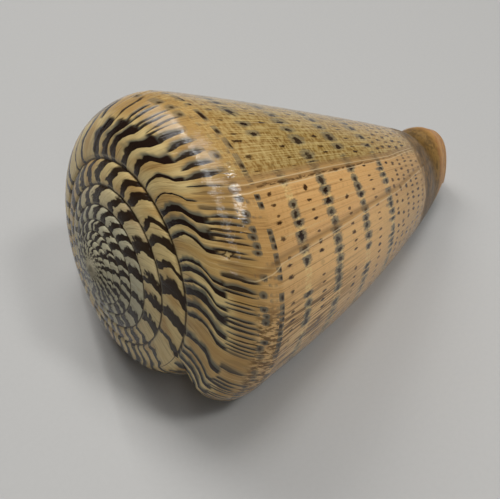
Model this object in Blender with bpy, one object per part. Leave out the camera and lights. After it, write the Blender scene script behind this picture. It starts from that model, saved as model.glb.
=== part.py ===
"""A cone shell lying on its aperture side, long axis along X, apex at -X.

The shell grew as one piece, so it is one solid. Its outer surface is one profile, from the
suture over the shoulder to the anterior tip, that grows as it turns about the axis. A place
on it is given by turn, the angle of growth in radians (0 at the lip, negative towards the
apex), and station, the place along the profile: 0 to 1 is the ramp of the spire, 1 to 2 the
shoulder, 2 to 3 the side, and 3 to 4 the rounded end.
"""
import bpy
import bmesh
import numpy as np
from math import cos, hypot, log, radians, sin, tan, tau
from mathutils import Vector

# Whole shell, in metres
SHOULDER_RADIUS = 0.0365      # at the lip, where the shell is widest
AXIAL_LENGTH = 0.1048         # apex to the anterior end of the lip
EXPANSION = 1.304             # growth of every length in one turn
SPIRE_WHORLS = 8              # turns that show above the last one

# Spire and shoulder
SPIRE_SLOPE = radians(17.9)   # of the ramp, away from a plane across the axis
SUTURE_RADIUS = 0.0311        # where the ramp ends and the shoulder begins, at the lip
RAMP_BULGE = 0.068            # rise of the ramp between its sutures, as a share of its width
SHOULDER_DEPTH = 0.0224       # apex to the lower end of the shoulder, along the axis
SHOULDER_REACH = 0.916        # how far the ramp's direction holds into the shoulder
SHOULDER_TUCK = 0.208         # how far the side's direction holds up into the shoulder

# Side of the last whorl: its taper at the lip, and how it changes with each radian of growth
TIP_RADIUS = 0.0122
TAPER_POWER, TAPER_POWER_TURN = 0.93, -0.094
BELLY, BELLY_TURN = 0.0035, 0.0019
TIP_GROWTH = 0.62             # growth in radius at the tip, against that at the shoulder
TIP_ADVANCE = 0.010           # how far the older side stretches past the lip's
HIDDEN_TURN = -3.2            # past this turn the side is on the lower, aperture side
HIDDEN_EASE = 0.5             # turn over which the taper stops changing there
VENTRAL_PULL = 0.0030         # the side draws in to the columella beside the aperture
VENTRAL_POWER = 2.2           # how closely that keeps to the anterior end

# The last of the side, where the anterior end slants: the older end is narrower and reaches on
TIP_NARROWING, NARROWING_POWER, NARROWING_TURN = 0.0031, 5.0, 2.6
TIP_REACH, REACH_POWER, REACH_TURN = 0.0056, 4.0, 2.1
REACH_BACK = 0.30             # share of that reach by which the lip's end is cut short

# Siphonal collar: a groove and a raised rim round the anterior end
GROOVE_PLACE = 0.90
GROOVE_SHIFT, SHIFT_START, SHIFT_TURN = 0.012, -1.7, 1.5
GROOVE_DEPTH, GROOVE_WIDTH = 0.0011, 0.035
COLLAR_START, COLLAR_FADE = -0.1, 0.9     # turn where the groove begins, and how it fades in
RIM_HEIGHT, RIM_RISE = 0.0027, 0.07
RIM_START, RIM_FADE = -0.7, 1.5           # the rim stands out only on the older side
END_ROUNDING, END_HEIGHT = 0.0026, 0.0022

# Lip and aperture
LIP_LEAD = radians(17)        # the lip's edge at the shoulder runs ahead of its suture
NOTCH_DEPTH = radians(42)     # the siphonal notch cuts this far back round the end
NOTCH_PLACE = 0.88            # share of the side where the notch begins
LIP_THICKNESS = 0.0013
WALL_THICKNESS = 0.0021
CAVITY_TURN = radians(150)    # how far the open hollow runs back inside
CAVITY_SPACING = 1.5          # power that sets the rings closer near the lip
CAVITY_STEP = radians(2)      # turn from the covered edge to the first ring on the inner wall
CAVITY_REACH = 0.97           # share of the side down to which the inner wall is open
THICKENED = 0.33              # share of the hollow's depth where the wall reaches full thickness
CORNER_RAMP = 0.4             # the hollow's upper corner lies here under the ramp
CORNER_SHOULDER = 1.5         # and here on the shoulder of the whorl before

# Resting place
AXIS_TILT = radians(14.3)     # the axis slopes down to the anterior end
LIP_ANGLE = radians(110.7)    # of the lip's suture from the top, clockwise from the apex
REST_FLAT = 0.0006            # worn off where the shell touches what it lies on

# Facets
COLUMNS = 72
RAMP_STATIONS = [0.0, 0.5]
SHOULDER_STATIONS = [1.0, 1.2, 1.4, 1.6, 1.8]
SIDE_STEPS = 12               # even steps of the side, down to where the collar's begin
COLLAR_SHARES = [0.80, 0.84, 0.87, 0.90, 0.93, 0.965, 1.0]
END_STATIONS = [3.5, 4.0]
CAVITY_RINGS = 8
LEAN_SHARES = (0.02, 0.10)    # where the side's lean is measured, for the shoulder to meet it
NORMAL_STEP = 0.01            # half step in station, for the profile's direction

# Surface: glossy ochre tan, the mean colour of the last whorl
BASE_COLOUR = (0.50, 0.33, 0.16, 1.0)
ROUGHNESS = 0.3

TURN_RATE = log(EXPANSION) / tau


def smooth(x):
    """Ease from 0 to 1."""
    x = np.clip(x, 0.0, 1.0)
    return x * x * (3.0 - 2.0 * x)


def bezier(start, near_start, near_end, end, v):
    """Point of a cubic curve."""
    left = 1.0 - v
    return left**3 * start + 3 * left**2 * v * near_start + 3 * left * v**2 * near_end + v**3 * end


def held(turn):
    """The turn as the taper follows it: it settles on the side that faces down."""
    past = np.minimum(turn - HIDDEN_TURN, 0.0)
    settled = HIDDEN_TURN - HIDDEN_EASE * (1.0 - np.exp(past / HIDDEN_EASE))
    return np.where(turn > HIDDEN_TURN, turn, settled)


def groove_place(turn):
    """Share of the side where the collar's groove runs."""
    return GROOVE_PLACE + GROOVE_SHIFT * smooth((turn - SHIFT_START) / SHIFT_TURN)


def side(turn, share):
    """Radius and depth below the apex on the side of the last whorl, share from 0 to 1."""
    growth = np.exp(TURN_RATE * turn)
    lag = held(turn)
    power = TAPER_POWER + TAPER_POWER_TURN * lag
    belly = BELLY + BELLY_TURN * lag
    radius = SHOULDER_RADIUS - (SHOULDER_RADIUS - TIP_RADIUS) * share**power
    radius = radius + 4.0 * belly * share * (1.0 - share)
    radius = radius - SHOULDER_RADIUS * (1.0 - growth) * (1.0 + (TIP_GROWTH - 1.0) * share)
    covered = HIDDEN_TURN - HIDDEN_EASE
    radius = radius - VENTRAL_PULL * share**VENTRAL_POWER * smooth((covered - turn) / (covered + tau))
    narrowing = smooth(-turn / NARROWING_TURN)
    radius = radius - TIP_NARROWING * share**NARROWING_POWER * narrowing
    collar = smooth((COLLAR_START - turn) / COLLAR_FADE)
    groove = groove_place(turn)
    radius = radius - GROOVE_DEPTH * collar * np.exp(-((share - groove) / GROOVE_WIDTH)**2)
    rim = smooth((RIM_START - turn) / RIM_FADE)
    radius = radius + RIM_HEIGHT * rim * smooth((share - groove) / RIM_RISE)
    depth = SHOULDER_DEPTH + (AXIAL_LENGTH - SHOULDER_DEPTH) * share
    depth = depth - (1.0 - growth) * SHOULDER_DEPTH * (1.0 - share)
    depth = depth + (1.0 - np.exp(TURN_RATE * lag)) * TIP_ADVANCE * share
    depth = depth + TIP_REACH * share**REACH_POWER * (smooth(-turn / REACH_TURN) - REACH_BACK)
    return radius, depth


def outer(turn, station):
    """Radius and depth below the apex of the outer surface."""
    turn, station = np.broadcast_arrays(np.asarray(turn, float), np.asarray(station, float))
    growth = np.exp(TURN_RATE * turn)
    slope = tan(SPIRE_SLOPE)
    inner = SUTURE_RADIUS / EXPANSION
    width = SUTURE_RADIUS - inner
    length = hypot(width, width * slope)
    out_r, out_z = sin(SPIRE_SLOPE), -cos(SPIRE_SLOPE)

    u = np.clip(station, 0.0, 1.0)
    rise = RAMP_BULGE * length * 4.0 * u * (1.0 - u)
    ramp_r = inner + width * u + out_r * rise
    ramp_z = inner * slope + width * slope * u + out_z * rise

    run_r = width / length - out_r * 4.0 * RAMP_BULGE
    run_z = width * slope / length - out_z * 4.0 * RAMP_BULGE
    reach = SHOULDER_REACH * (SHOULDER_RADIUS - SUTURE_RADIUS) / hypot(run_r, run_z)
    tuck = SHOULDER_TUCK * (SHOULDER_DEPTH - SUTURE_RADIUS * slope)
    high_r, high_z = side(turn, LEAN_SHARES[0])
    low_r, low_z = side(turn, LEAN_SHARES[1])
    lean = (low_r - high_r) / (low_z - high_z)
    v = np.clip(station - 1.0, 0.0, 1.0)
    shoulder_r = bezier(SUTURE_RADIUS, SUTURE_RADIUS + run_r * reach,
                        SHOULDER_RADIUS - lean * tuck, SHOULDER_RADIUS, v)
    top = SUTURE_RADIUS * slope
    shoulder_z = bezier(top, top + run_z * reach, SHOULDER_DEPTH - tuck, SHOULDER_DEPTH, v)

    side_r, side_z = side(turn, np.clip(station - 2.0, 0.0, 1.0))
    rim_r, rim_z = side(turn, 1.0)
    q = np.clip(station - 3.0, 0.0, 1.0) * tau / 4.0
    end_r = rim_r - END_ROUNDING * (1.0 - np.cos(q))
    end_z = rim_z + END_HEIGHT * np.sin(q)

    radius = np.where(station <= 1, ramp_r * growth, shoulder_r * growth)
    depth = np.where(station <= 1, ramp_z * growth, shoulder_z * growth)
    radius = np.where(station > 2, side_r, radius)
    depth = np.where(station > 2, side_z, depth)
    radius = np.where(station > 3, end_r, radius)
    depth = np.where(station > 3, end_z, depth)
    return radius, depth


def inset(turn, station, thickness):
    """The same surface moved inwards by a thickness, square to the profile."""
    before_r, before_z = outer(turn, np.maximum(station - NORMAL_STEP, 0.0))
    after_r, after_z = outer(turn, np.minimum(station + NORMAL_STEP, 4.0))
    run_r, run_z = after_r - before_r, after_z - before_z
    length = np.hypot(run_r, run_z)
    radius, depth = outer(turn, station)
    return radius - thickness * run_z / length, depth + thickness * run_r / length


def place(radius, depth, turn):
    """World position, with the axis tilted as the shell lies."""
    angle = LIP_ANGLE + turn
    up = np.cos(angle) * radius
    towards_y = -np.sin(angle) * radius
    along = depth - 0.5 * AXIAL_LENGTH
    x = up * sin(AXIS_TILT) + along * cos(AXIS_TILT)
    z = up * cos(AXIS_TILT) - along * sin(AXIS_TILT)
    return np.stack([x, towards_y, z], axis=-1)


def lip_turn(station):
    """Turn of the lip's edge: ahead at the shoulder, cut back at the siphonal notch."""
    ahead = LIP_LEAD * smooth(station / 2.0)
    return ahead - NOTCH_DEPTH * smooth((station - 2.0 - NOTCH_PLACE) / (1.0 - NOTCH_PLACE))


def stations():
    """Stations of the last whorl, from the suture to the anterior end."""
    even = [i / SIDE_STEPS for i in range(SIDE_STEPS)]
    shares = [share for share in even if share < COLLAR_SHARES[0]] + COLLAR_SHARES
    sides = [2.0 + share for share in shares]
    return np.array(RAMP_STATIONS + SHOULDER_STATIONS + sides + END_STATIONS)


class Skin:
    """Collects the vertices and faces of the shell."""

    def __init__(self):
        self.mesh = bmesh.new()

    def vertices(self, points):
        return [self.mesh.verts.new(Vector(p)) for p in points]

    def face(self, *corners):
        unique = list(dict.fromkeys(corners))
        if len(unique) > 2:
            self.mesh.faces.new(unique)

    def strip(self, first, second):
        for i in range(len(first) - 1):
            self.face(first[i], first[i + 1], second[i + 1], second[i])


def last_whorl(skin, rows, apex_columns):
    """Outer surface of the last whorl. Column 0 lies under the lip, the last one is its edge.

    apex_columns gives the vertices of the suture row, shared with the whorl above.
    """
    columns = []
    for j in range(COLUMNS + 1):
        turn = -tau + (tau + lip_turn(rows)) * j / COLUMNS
        radius, depth = outer(turn, rows)
        points = place(radius, depth, turn)
        first = apex_columns[j]
        columns.append([first] + skin.vertices(points[1:]))
    return columns


def build_spire(skin):
    """Ramps of the earlier whorls, from the apex outwards, and the last whorl's suture row.

    The whorls are one spiral strip, so the outer row of each is the suture row of the next.
    """
    steps = (SPIRE_WHORLS + 1) * COLUMNS
    turns = -(SPIRE_WHORLS + 1) * tau + np.arange(steps + 1) * tau / COLUMNS
    shares = np.array(RAMP_STATIONS + [1.0])
    spiral = []
    for turn in turns[:-COLUMNS]:
        radius, depth = outer(turn, shares)
        points = place(radius, depth, turn)
        middle = skin.vertices(points[1:-1])
        spiral.append([None] + middle + skin.vertices(points[-1:]))
    for i in range(COLUMNS, len(spiral)):
        spiral[i][0] = spiral[i - COLUMNS][-1]
    tip = skin.vertices(place(np.array([0.0]), np.array([0.0]), 0.0))[0]
    for i in range(min(COLUMNS, len(spiral))):
        spiral[i][0] = tip
    for before, after in zip(spiral, spiral[1:]):
        skin.strip(before, after)
    start = spiral[0]
    for i in range(len(start) - 1):
        skin.face(start[i], start[i + 1], tip)
    suture = [column[-1] for column in spiral[-COLUMNS - 1:]]
    return spiral, suture


def build_shell():
    """The whole solid: spire, last whorl, lip, aperture and anterior end."""
    skin = Skin()
    rows = stations()
    spiral, suture = build_spire(skin)
    columns = last_whorl(skin, rows, suture)

    # Column 0 continues the spire's ramp, so their shared vertices are joined
    joined = len(RAMP_STATIONS) + 1
    for i in range(1, joined):
        skin.mesh.verts.remove(columns[0][i])
        columns[0][i] = spiral[-1][i]
    for before, after in zip(columns, columns[1:]):
        skin.strip(before, after)

    end_depth = float(outer(-tau / 2.0, END_STATIONS[-1])[1])
    anterior = skin.vertices(place(np.array([0.0]), np.array([end_depth]), 0.0))[0]
    for before, after in zip(columns, columns[1:]):
        skin.face(before[-1], after[-1], anterior)

    # Rings of the hollow: outward is under the lip, inward is on the whorl before
    low = len(RAMP_STATIONS)
    side_end = len(rows) - len(END_STATIONS)
    under_lip = np.where(rows < 1.0, CORNER_RAMP + (1.0 - CORNER_RAMP) * rows, rows)
    over_whorl = np.clip(rows[low:side_end], 1.0, 3.0)
    over_whorl = np.where(over_whorl < 2.0,
                          CORNER_SHOULDER + (2.0 - CORNER_SHOULDER) * (over_whorl - 1.0),
                          2.0 + CAVITY_REACH * (over_whorl - 2.0))
    outward = columns[-1] + [anterior]
    inward = columns[0][low:] + [anterior]
    for k in range(CAVITY_RINGS + 1):
        depth_share = k / CAVITY_RINGS
        back = CAVITY_TURN * depth_share**CAVITY_SPACING
        thickened = min(1.0, depth_share / THICKENED)
        thickness = LIP_THICKNESS + (WALL_THICKNESS - LIP_THICKNESS) * thickened
        turn = lip_turn(rows) - back
        radius, depth = inset(turn, under_lip, thickness)
        next_out = skin.vertices(place(radius, depth, turn))
        turn = -tau - back - CAVITY_STEP
        radius, depth = outer(turn, over_whorl)
        next_in = skin.vertices(place(radius, depth, turn))
        corner = next_in[-1]
        next_out.append(corner)
        skin.strip(next_out, outward)
        if k == 0:
            skin.face(outward[0], next_out[0], next_in[0])
            next_in = next_in + [corner] * (len(inward) - len(next_in))
            skin.strip(inward, next_in)
            next_in = next_in[:side_end - low]
        else:
            skin.face(outward[0], next_out[0], next_in[0], inward[0])
            skin.strip(inward, next_in)
        outward, inward = next_out, next_in

    # Inner end of the hollow
    for i in range(low):
        skin.face(outward[i], outward[i + 1], inward[0])
    for i in range(len(inward) - 1):
        skin.face(outward[low + i], outward[low + i + 1], inward[i + 1], inward[i])
    for i in range(low + len(inward) - 1, len(outward) - 1):
        skin.face(outward[i], outward[i + 1], inward[-1])
    return skin.mesh


def settle(mesh):
    """Wear small flats where the shell rests, and bring its base centre to the origin."""
    floor = min(v.co.z for v in mesh.verts) + REST_FLAT
    for vertex in mesh.verts:
        vertex.co.z = max(vertex.co.z, floor)
    low = [min(v.co[i] for v in mesh.verts) for i in range(3)]
    high = [max(v.co[i] for v in mesh.verts) for i in range(3)]
    centre = Vector([(low[0] + high[0]) / 2.0, (low[1] + high[1]) / 2.0, low[2]])
    bmesh.ops.translate(mesh, vec=-centre, verts=mesh.verts)


def shell_material():
    """The one surface of the shell."""
    material = bpy.data.materials.new("shell")
    material.use_nodes = True
    shader = material.node_tree.nodes["Principled BSDF"]
    shader.inputs["Base Color"].default_value = BASE_COLOUR
    shader.inputs["Roughness"].default_value = ROUGHNESS
    shader.inputs["Metallic"].default_value = 0.0
    return material


def main():
    for item in list(bpy.data.objects):
        bpy.data.objects.remove(item, do_unlink=True)
    mesh = build_shell()
    settle(mesh)
    bmesh.ops.triangulate(mesh, faces=mesh.faces)
    bmesh.ops.recalc_face_normals(mesh, faces=mesh.faces)
    data = bpy.data.meshes.new("shell")
    mesh.to_mesh(data)
    mesh.free()
    data.materials.append(shell_material())
    data.shade_smooth()
    shell = bpy.data.objects.new("shell", data)
    bpy.context.scene.collection.objects.link(shell)


main()
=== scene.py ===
"""A cone shell lying on its aperture side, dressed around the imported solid.

A place on the shell is given by turn, the angle of growth in radians (0 at the lip's suture,
negative towards the apex), and station, the place along the profile: 0 to 1 is the ramp of the
spire, 1 to 2 the shoulder, 2 to 3 the side, and 3 to 4 the rounded end.
"""
from math import cos, degrees, hypot, log, radians, sin, tan, tau

import bpy
import numpy as np
from bpy.props import FloatProperty, FloatVectorProperty, IntProperty, PointerProperty
from mathutils import Matrix, Vector


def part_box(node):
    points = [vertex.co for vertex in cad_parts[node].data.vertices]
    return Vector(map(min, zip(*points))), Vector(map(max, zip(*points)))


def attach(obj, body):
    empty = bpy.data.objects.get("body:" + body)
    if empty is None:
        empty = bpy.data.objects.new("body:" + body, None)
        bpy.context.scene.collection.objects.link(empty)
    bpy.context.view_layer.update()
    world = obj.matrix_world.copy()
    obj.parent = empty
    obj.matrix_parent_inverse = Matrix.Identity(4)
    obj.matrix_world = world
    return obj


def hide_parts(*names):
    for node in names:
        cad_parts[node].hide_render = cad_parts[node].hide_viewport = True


bl_info = {
    "name": "Cone shell",
    "version": (1, 0, 0),
    "blender": (4, 5, 0),
    "location": "3D View > Sidebar > Shell",
    "description": "Builds a spotted cone shell and a plain stage around its packed solid",
    "category": "Add Mesh",
}

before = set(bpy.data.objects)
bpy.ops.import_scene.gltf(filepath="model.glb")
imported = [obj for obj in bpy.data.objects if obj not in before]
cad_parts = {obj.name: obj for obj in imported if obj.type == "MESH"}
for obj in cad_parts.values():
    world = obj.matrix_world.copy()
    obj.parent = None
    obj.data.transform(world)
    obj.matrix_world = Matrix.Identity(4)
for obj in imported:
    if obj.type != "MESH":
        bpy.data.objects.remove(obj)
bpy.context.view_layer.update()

# Whole shell, in metres, as in the solid
SHOULDER_RADIUS = 0.0365
AXIAL_LENGTH = 0.1048
EXPANSION = 1.304
TURN_RATE = log(EXPANSION) / tau
SKIN_WHORLS = 12
SPIRE_SLOPE = radians(17.9)
SUTURE_RADIUS = 0.0311
RAMP_BULGE = 0.068
SHOULDER_DEPTH = 0.0224
SHOULDER_REACH = 0.916
SHOULDER_TUCK = 0.208
TIP_RADIUS = 0.0122
TAPER_POWER, TAPER_POWER_TURN = 0.93, -0.094
BELLY, BELLY_TURN = 0.0035, 0.0019
TIP_GROWTH = 0.62
TIP_ADVANCE = 0.010
HIDDEN_TURN, HIDDEN_EASE = -3.2, 0.5
VENTRAL_PULL, VENTRAL_POWER = 0.0030, 2.2
TIP_NARROWING, NARROWING_POWER, NARROWING_TURN = 0.0031, 5.0, 2.6
TIP_REACH, REACH_POWER, REACH_TURN = 0.0056, 4.0, 2.1
REACH_BACK = 0.30
GROOVE_PLACE = 0.90
GROOVE_SHIFT, SHIFT_START, SHIFT_TURN = 0.012, -1.7, 1.5
GROOVE_DEPTH, GROOVE_WIDTH = 0.0011, 0.035
COLLAR_START, COLLAR_FADE = -0.1, 0.9
RIM_HEIGHT, RIM_RISE = 0.0027, 0.07
RIM_START, RIM_FADE = -0.7, 1.5
END_ROUNDING, END_HEIGHT = 0.0026, 0.0022
LIP_LEAD = radians(17)
NOTCH_DEPTH, NOTCH_PLACE = radians(42), 0.88
LIP_THICKNESS, WALL_THICKNESS = 0.0013, 0.0021
CAVITY_TURN = radians(150)
CAVITY_SPACING = 1.5
CAVITY_STEP = radians(2)
CAVITY_REACH = 0.97
THICKENED = 0.33
CORNER_RAMP, CORNER_SHOULDER = 0.4, 1.5
LEAN_SHARES = (0.02, 0.10)
NORMAL_STEP = 0.01
AXIS_TILT = radians(14.3)
LIP_ANGLE = radians(110.7)
REST_FLAT = 0.0006

# Rows of the fine mesh
RAMP_ROWS = [0.0, 0.035, 0.08, 0.15, 0.27, 0.42, 0.58, 0.74, 0.87, 0.95, 1.0]
SHOULDER_ROWS = 22
SIDE_ROWS, COLLAR_ROWS = 78, 20
COLLAR_SHARE = 0.78
END_ROWS = 5
CAVITY_RINGS = 9


def smooth(x):
    """Ease from 0 to 1."""
    x = np.clip(x, 0.0, 1.0)
    return x * x * (3.0 - 2.0 * x)


def bezier(start, near_start, near_end, end, v):
    """Point of a cubic curve."""
    left = 1.0 - v
    return left**3 * start + 3 * left**2 * v * near_start + 3 * left * v**2 * near_end + v**3 * end


def held(turn):
    """The turn as the taper follows it: it settles on the side that faces down."""
    past = np.minimum(turn - HIDDEN_TURN, 0.0)
    settled = HIDDEN_TURN - HIDDEN_EASE * (1.0 - np.exp(past / HIDDEN_EASE))
    return np.where(turn > HIDDEN_TURN, turn, settled)


def groove_place(turn):
    """Share of the side where the collar's groove runs."""
    return GROOVE_PLACE + GROOVE_SHIFT * smooth((turn - SHIFT_START) / SHIFT_TURN)


def side(turn, share):
    """Radius and depth below the apex on the side of the last whorl, share from 0 to 1."""
    growth = np.exp(TURN_RATE * turn)
    lag = held(turn)
    power = TAPER_POWER + TAPER_POWER_TURN * lag
    belly = BELLY + BELLY_TURN * lag
    radius = SHOULDER_RADIUS - (SHOULDER_RADIUS - TIP_RADIUS) * share**power
    radius = radius + 4.0 * belly * share * (1.0 - share)
    radius = radius - SHOULDER_RADIUS * (1.0 - growth) * (1.0 + (TIP_GROWTH - 1.0) * share)
    covered = HIDDEN_TURN - HIDDEN_EASE
    hidden = smooth((covered - turn) / (covered + tau))
    radius = radius - VENTRAL_PULL * share**VENTRAL_POWER * hidden
    narrowing = smooth(-turn / NARROWING_TURN)
    radius = radius - TIP_NARROWING * share**NARROWING_POWER * narrowing
    collar = smooth((COLLAR_START - turn) / COLLAR_FADE)
    groove = groove_place(turn)
    radius = radius - GROOVE_DEPTH * collar * np.exp(-((share - groove) / GROOVE_WIDTH)**2)
    rim = smooth((RIM_START - turn) / RIM_FADE)
    radius = radius + RIM_HEIGHT * rim * smooth((share - groove) / RIM_RISE)
    depth = SHOULDER_DEPTH + (AXIAL_LENGTH - SHOULDER_DEPTH) * share
    depth = depth - (1.0 - growth) * SHOULDER_DEPTH * (1.0 - share)
    depth = depth + (1.0 - np.exp(TURN_RATE * lag)) * TIP_ADVANCE * share
    depth = depth + TIP_REACH * share**REACH_POWER * (smooth(-turn / REACH_TURN) - REACH_BACK)
    return radius, depth


def outer(turn, station):
    """Radius and depth below the apex of the outer surface."""
    turn, station = np.broadcast_arrays(np.asarray(turn, float), np.asarray(station, float))
    growth = np.exp(TURN_RATE * turn)
    slope = tan(SPIRE_SLOPE)
    inner = SUTURE_RADIUS / EXPANSION
    width = SUTURE_RADIUS - inner
    length = hypot(width, width * slope)
    out_r, out_z = sin(SPIRE_SLOPE), -cos(SPIRE_SLOPE)

    u = np.clip(station, 0.0, 1.0)
    rise = RAMP_BULGE * length * 4.0 * u * (1.0 - u)
    ramp_r = inner + width * u + out_r * rise
    ramp_z = inner * slope + width * slope * u + out_z * rise

    run_r = width / length - out_r * 4.0 * RAMP_BULGE
    run_z = width * slope / length - out_z * 4.0 * RAMP_BULGE
    reach = SHOULDER_REACH * (SHOULDER_RADIUS - SUTURE_RADIUS) / hypot(run_r, run_z)
    tuck = SHOULDER_TUCK * (SHOULDER_DEPTH - SUTURE_RADIUS * slope)
    high_r, high_z = side(turn, LEAN_SHARES[0])
    low_r, low_z = side(turn, LEAN_SHARES[1])
    lean = (low_r - high_r) / (low_z - high_z)
    v = np.clip(station - 1.0, 0.0, 1.0)
    shoulder_r = bezier(SUTURE_RADIUS, SUTURE_RADIUS + run_r * reach,
                        SHOULDER_RADIUS - lean * tuck, SHOULDER_RADIUS, v)
    top = SUTURE_RADIUS * slope
    shoulder_z = bezier(top, top + run_z * reach, SHOULDER_DEPTH - tuck, SHOULDER_DEPTH, v)

    side_r, side_z = side(turn, np.clip(station - 2.0, 0.0, 1.0))
    rim_r, rim_z = side(turn, 1.0)
    q = np.clip(station - 3.0, 0.0, 1.0) * tau / 4.0
    end_r = rim_r - END_ROUNDING * (1.0 - np.cos(q))
    end_z = rim_z + END_HEIGHT * np.sin(q)

    radius = np.where(station <= 1, ramp_r * growth, shoulder_r * growth)
    depth = np.where(station <= 1, ramp_z * growth, shoulder_z * growth)
    radius = np.where(station > 2, side_r, radius)
    depth = np.where(station > 2, side_z, depth)
    radius = np.where(station > 3, end_r, radius)
    depth = np.where(station > 3, end_z, depth)
    return radius, depth


def inset(turn, station, thickness):
    """The same surface moved inwards by a thickness, square to the profile."""
    before_r, before_z = outer(turn, np.maximum(station - NORMAL_STEP, 0.0))
    after_r, after_z = outer(turn, np.minimum(station + NORMAL_STEP, 4.0))
    run_r, run_z = after_r - before_r, after_z - before_z
    length = np.hypot(run_r, run_z)
    radius, depth = outer(turn, station)
    return radius - thickness * run_z / length, depth + thickness * run_r / length


def place(radius, depth, turn):
    """World position before settling, with the axis tilted as the shell lies."""
    angle = LIP_ANGLE + turn
    up = np.cos(angle) * radius
    towards_y = -np.sin(angle) * radius
    along = depth - 0.5 * AXIAL_LENGTH
    x = up * sin(AXIS_TILT) + along * cos(AXIS_TILT)
    z = up * cos(AXIS_TILT) - along * sin(AXIS_TILT)
    return np.stack([x, towards_y, z], axis=-1)


def lead(station):
    """How far a growth line runs ahead of where it meets the suture."""
    return LIP_LEAD * smooth(station / 2.0)


def lip_turn(station):
    """Turn of the lip's edge: ahead at the shoulder, cut back at the siphonal notch."""
    return lead(station) - NOTCH_DEPTH * smooth((station - 2.0 - NOTCH_PLACE) / (1.0 - NOTCH_PLACE))


# Relief: widths in stations or degrees of age, heights in metres or as shares of one
SUTURE_WIDTH, DIP_WIDTH = 0.055, 0.05
THREAD_PLACE, THREAD_WIDTH, THREAD_SHARE = 0.115, 0.045, 0.3
SUTURE_SEED, SUTURE_UNEVEN, SUTURE_WAVES = 3, 0.35, [(9, 14), (21, 30), (40, 55)]
FOLD_SEED, FOLD_WAVES = 11, [(0.55, 0.75), (0.9, 1.2), (1.5, 1.9), (2.2, 2.6)]
FOLDS_ON_SIDE, FOLDS_FADE = 0.35, 2.3
PLAIN_END, PLAIN_EASE = 3.1, 0.25
PAUSE_START, PAUSE_EASE, PAUSE_WIDTH = 0.9, 0.5, 0.9
FURROW_SHARE, FURROW_BEHIND, FURROW_WIDTH = 0.7, 2.2, 1.4
CHIP_TURN, CHIP_STATION = -55.2, 1.25
CHIP_WIDTH, CHIP_HEIGHT, CHIP_DEPTH = 1.5, 0.07, 0.00045
RIPPLE_HEIGHT, SHELL_IOR = 0.00006, 1.38

# Growth pauses: age in degrees at the shoulder, its change per station, height in metres
PAUSES = [(-60.2, -9.6, 0.00012), (-87.2, -2.6, 0.00006), (-90.6, -1.6, 0.00012),
          (-148.0, -5.0, 0.00014), (-206.0, -6.0, 0.00012),
          (-259.0, -5.0, 0.00014), (-311.0, -4.0, 0.00010)]
# Stations where their change and their sweep begin, and degrees of sweep per station
PAUSE_BEND, SWEEP_START, PAUSE_SWEEP = 1.5, 2.6, 26.0

# Dark flames of the ramps that show, from the lip backwards: age of the sharp edge, and width
LIP_FLAME = (4.0, 1.5)
FLAMES = [(-0.6, 1.3), (-4.0, 1.8), (-8.8, 1.6), (-13.1, 1.3), (-20.0, 2.3), (-32.8, 1.3),
          (-37.3, 2.1), (-43.1, 3.2), (-48.8, 1.1), (-53.8, 2.0), (-57.8, 1.3), (-69.0, 1.3),
          (-73.5, 2.6), (-79.4, 2.3), (-87.3, 0.6), (-95.6, 1.3), (-103.8, 3.2), (-113.8, 3.9),
          (-124.4, 3.6), (-131.3, 4.1), (-140.0, 4.4), (-159.4, 1.7), (-169.4, 1.3), (-182.5, 2.6)]
SPIRE_FLAMES = [(-368.0, 3.4), (-384.2, 5.6), (-400.4, 7.6), (-415.8, 3.0), (-428.8, 4.4),
                (-439.6, 3.4), (-456.5, 4.4), (-466.6, 3.8), (-479.5, 5.6), (-494.3, 6.0),
                (-507.7, 4.4), (-727.0, 7.0), (-749.0, 6.0), (-764.0, 6.0), (-787.0, 10.0),
                (-813.0, 8.0), (-830.0, 6.0), (-852.0, 9.0), (-1102.0, 7.0), (-1129.0, 8.0),
                (-1147.0, 7.0), (-1164.0, 6.0), (-1178.0, 7.0), (-1194.0, 8.0)]

# Stretches of flames out of view or too fine to see: first age, width, spacing, last age
HIDDEN_FLAMES = [(-190.0, 2.9, 9.0, -355.0), (-519.0, 4.6, 13.5, -712.0),
                 (-870.0, 6.6, 17.5, -1090.0), (-1212.0, 7.2, 18.5, -2195.0),
                 (-2210.0, 9.0, 24.0, -4700.0)]
FLAME_SEED, WIDTH_LUCK, SPACING_LUCK, SHARE_RANGE = 8, (0.7, 1.35), (0.75, 1.25), (0.04, 0.75)
AGE_UNIT = 100.0

# Spiral rows of spots: station of each, every other one large down to the small rows at the
# collar. The first and third carry no spots
SPOT_ROWS = [1.45, 1.60, 1.75, 1.93, 2.03, 2.09, 2.156, 2.227, 2.309, 2.376, 2.445, 2.53, 2.566,
             2.602, 2.641, 2.68, 2.72, 2.76, 2.80]


def flame_edges():
    """All flames from the apex to the lip: ages of their sharp edges, and widths."""
    draw = np.random.default_rng(FLAME_SEED)
    found = [LIP_FLAME] + FLAMES + SPIRE_FLAMES
    for start, width, spacing, stop in HIDDEN_FLAMES:
        age = start
        while age > stop:
            found.append((age, width * draw.uniform(*WIDTH_LUCK)))
            age -= spacing * draw.uniform(*SPACING_LUCK)
    found.sort()
    edges = np.array([age for age, _ in found])
    widths = np.array([width for _, width in found])
    return edges, widths


def pause_age(start, change, station):
    """Age at which a growth pause crosses a station: it sweeps back near the collar."""
    swept = PAUSE_SWEEP * np.maximum(station - SWEEP_START, 0.0)
    return start + change * np.maximum(station - PAUSE_BEND, 0.0) - swept


def waves(value, seed, terms):
    """A smooth random curve of the value, between about -1 and 1."""
    draw = np.random.default_rng(seed)
    total = 0.0
    for low, high in terms:
        frequency = draw.uniform(low, high)
        total = total + np.sin(value * frequency + draw.uniform(0.0, tau))
    return total / len(terms)


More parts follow.
